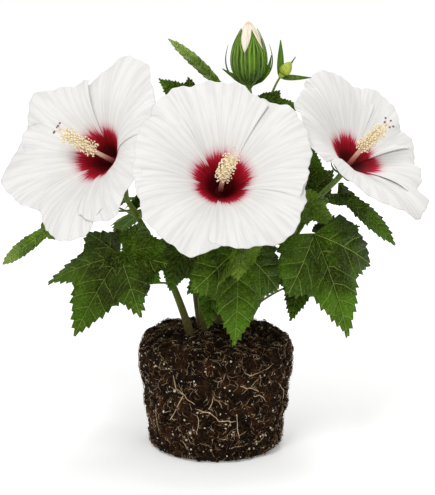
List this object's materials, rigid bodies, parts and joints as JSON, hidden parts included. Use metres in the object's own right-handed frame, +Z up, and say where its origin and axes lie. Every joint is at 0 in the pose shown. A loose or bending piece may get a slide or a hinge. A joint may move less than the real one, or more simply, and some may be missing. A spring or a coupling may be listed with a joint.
{
  "type": "hibiscus shrub on its root ball",
  "caption": "Young flowering shrub on a bare root ball: green stems, palmate toothed leaves, dinner-plate white blooms and buds, standing on the ball's flat underside.",
  "frame": {"origin": "centre of the root ball's flat underside", "axes": "+Z up from the underside through the plant, -Y towards the viewer of its best side, +X to that viewer's right"},
  "size_m": [0.472, 0.3285, 0.4763],
  "materials": {
    "peat": "matte moist peat with fibres and fine roots",
    "stem_green": "satin green bark, browner at the foot",
    "leaf_green": "satin leaf with light veins",
    "petal_white": "soft matte petal, crimson at the throat",
    "anther_cream": "matte pollen",
    "calyx_green": "satin, finely ribbed"
  },
  "bodies": {
    "root": {"root_ball": "peat", "stem_left": "stem_green", "stem_centre": "stem_green", "stem_right": "stem_green", "stem_back": "stem_green", "stem_rear": "stem_green", "petals_left": "petal_white", "column_left": "anther_cream", "calyx_left": "calyx_green", "petals_centre": "petal_white", "column_centre": "anther_cream", "calyx_centre": "calyx_green", "petals_right": "petal_white", "column_right": "anther_cream", "calyx_right": "calyx_green", "bud_large_petals": "petal_white", "bud_large_calyx": "calyx_green", "bud_small_calyx": "calyx_green", "bud_side_calyx": "calyx_green", "leaves_left_low": "leaf_green", "leaves_left_high": "leaf_green", "leaves_front": "leaf_green", "leaves_right_low": "leaf_green", "leaves_right_high": "leaf_green", "leaves_back": "leaf_green", "leaves_top": "leaf_green", "leaves_rear": "leaf_green"}
  },
  "joints": []
}
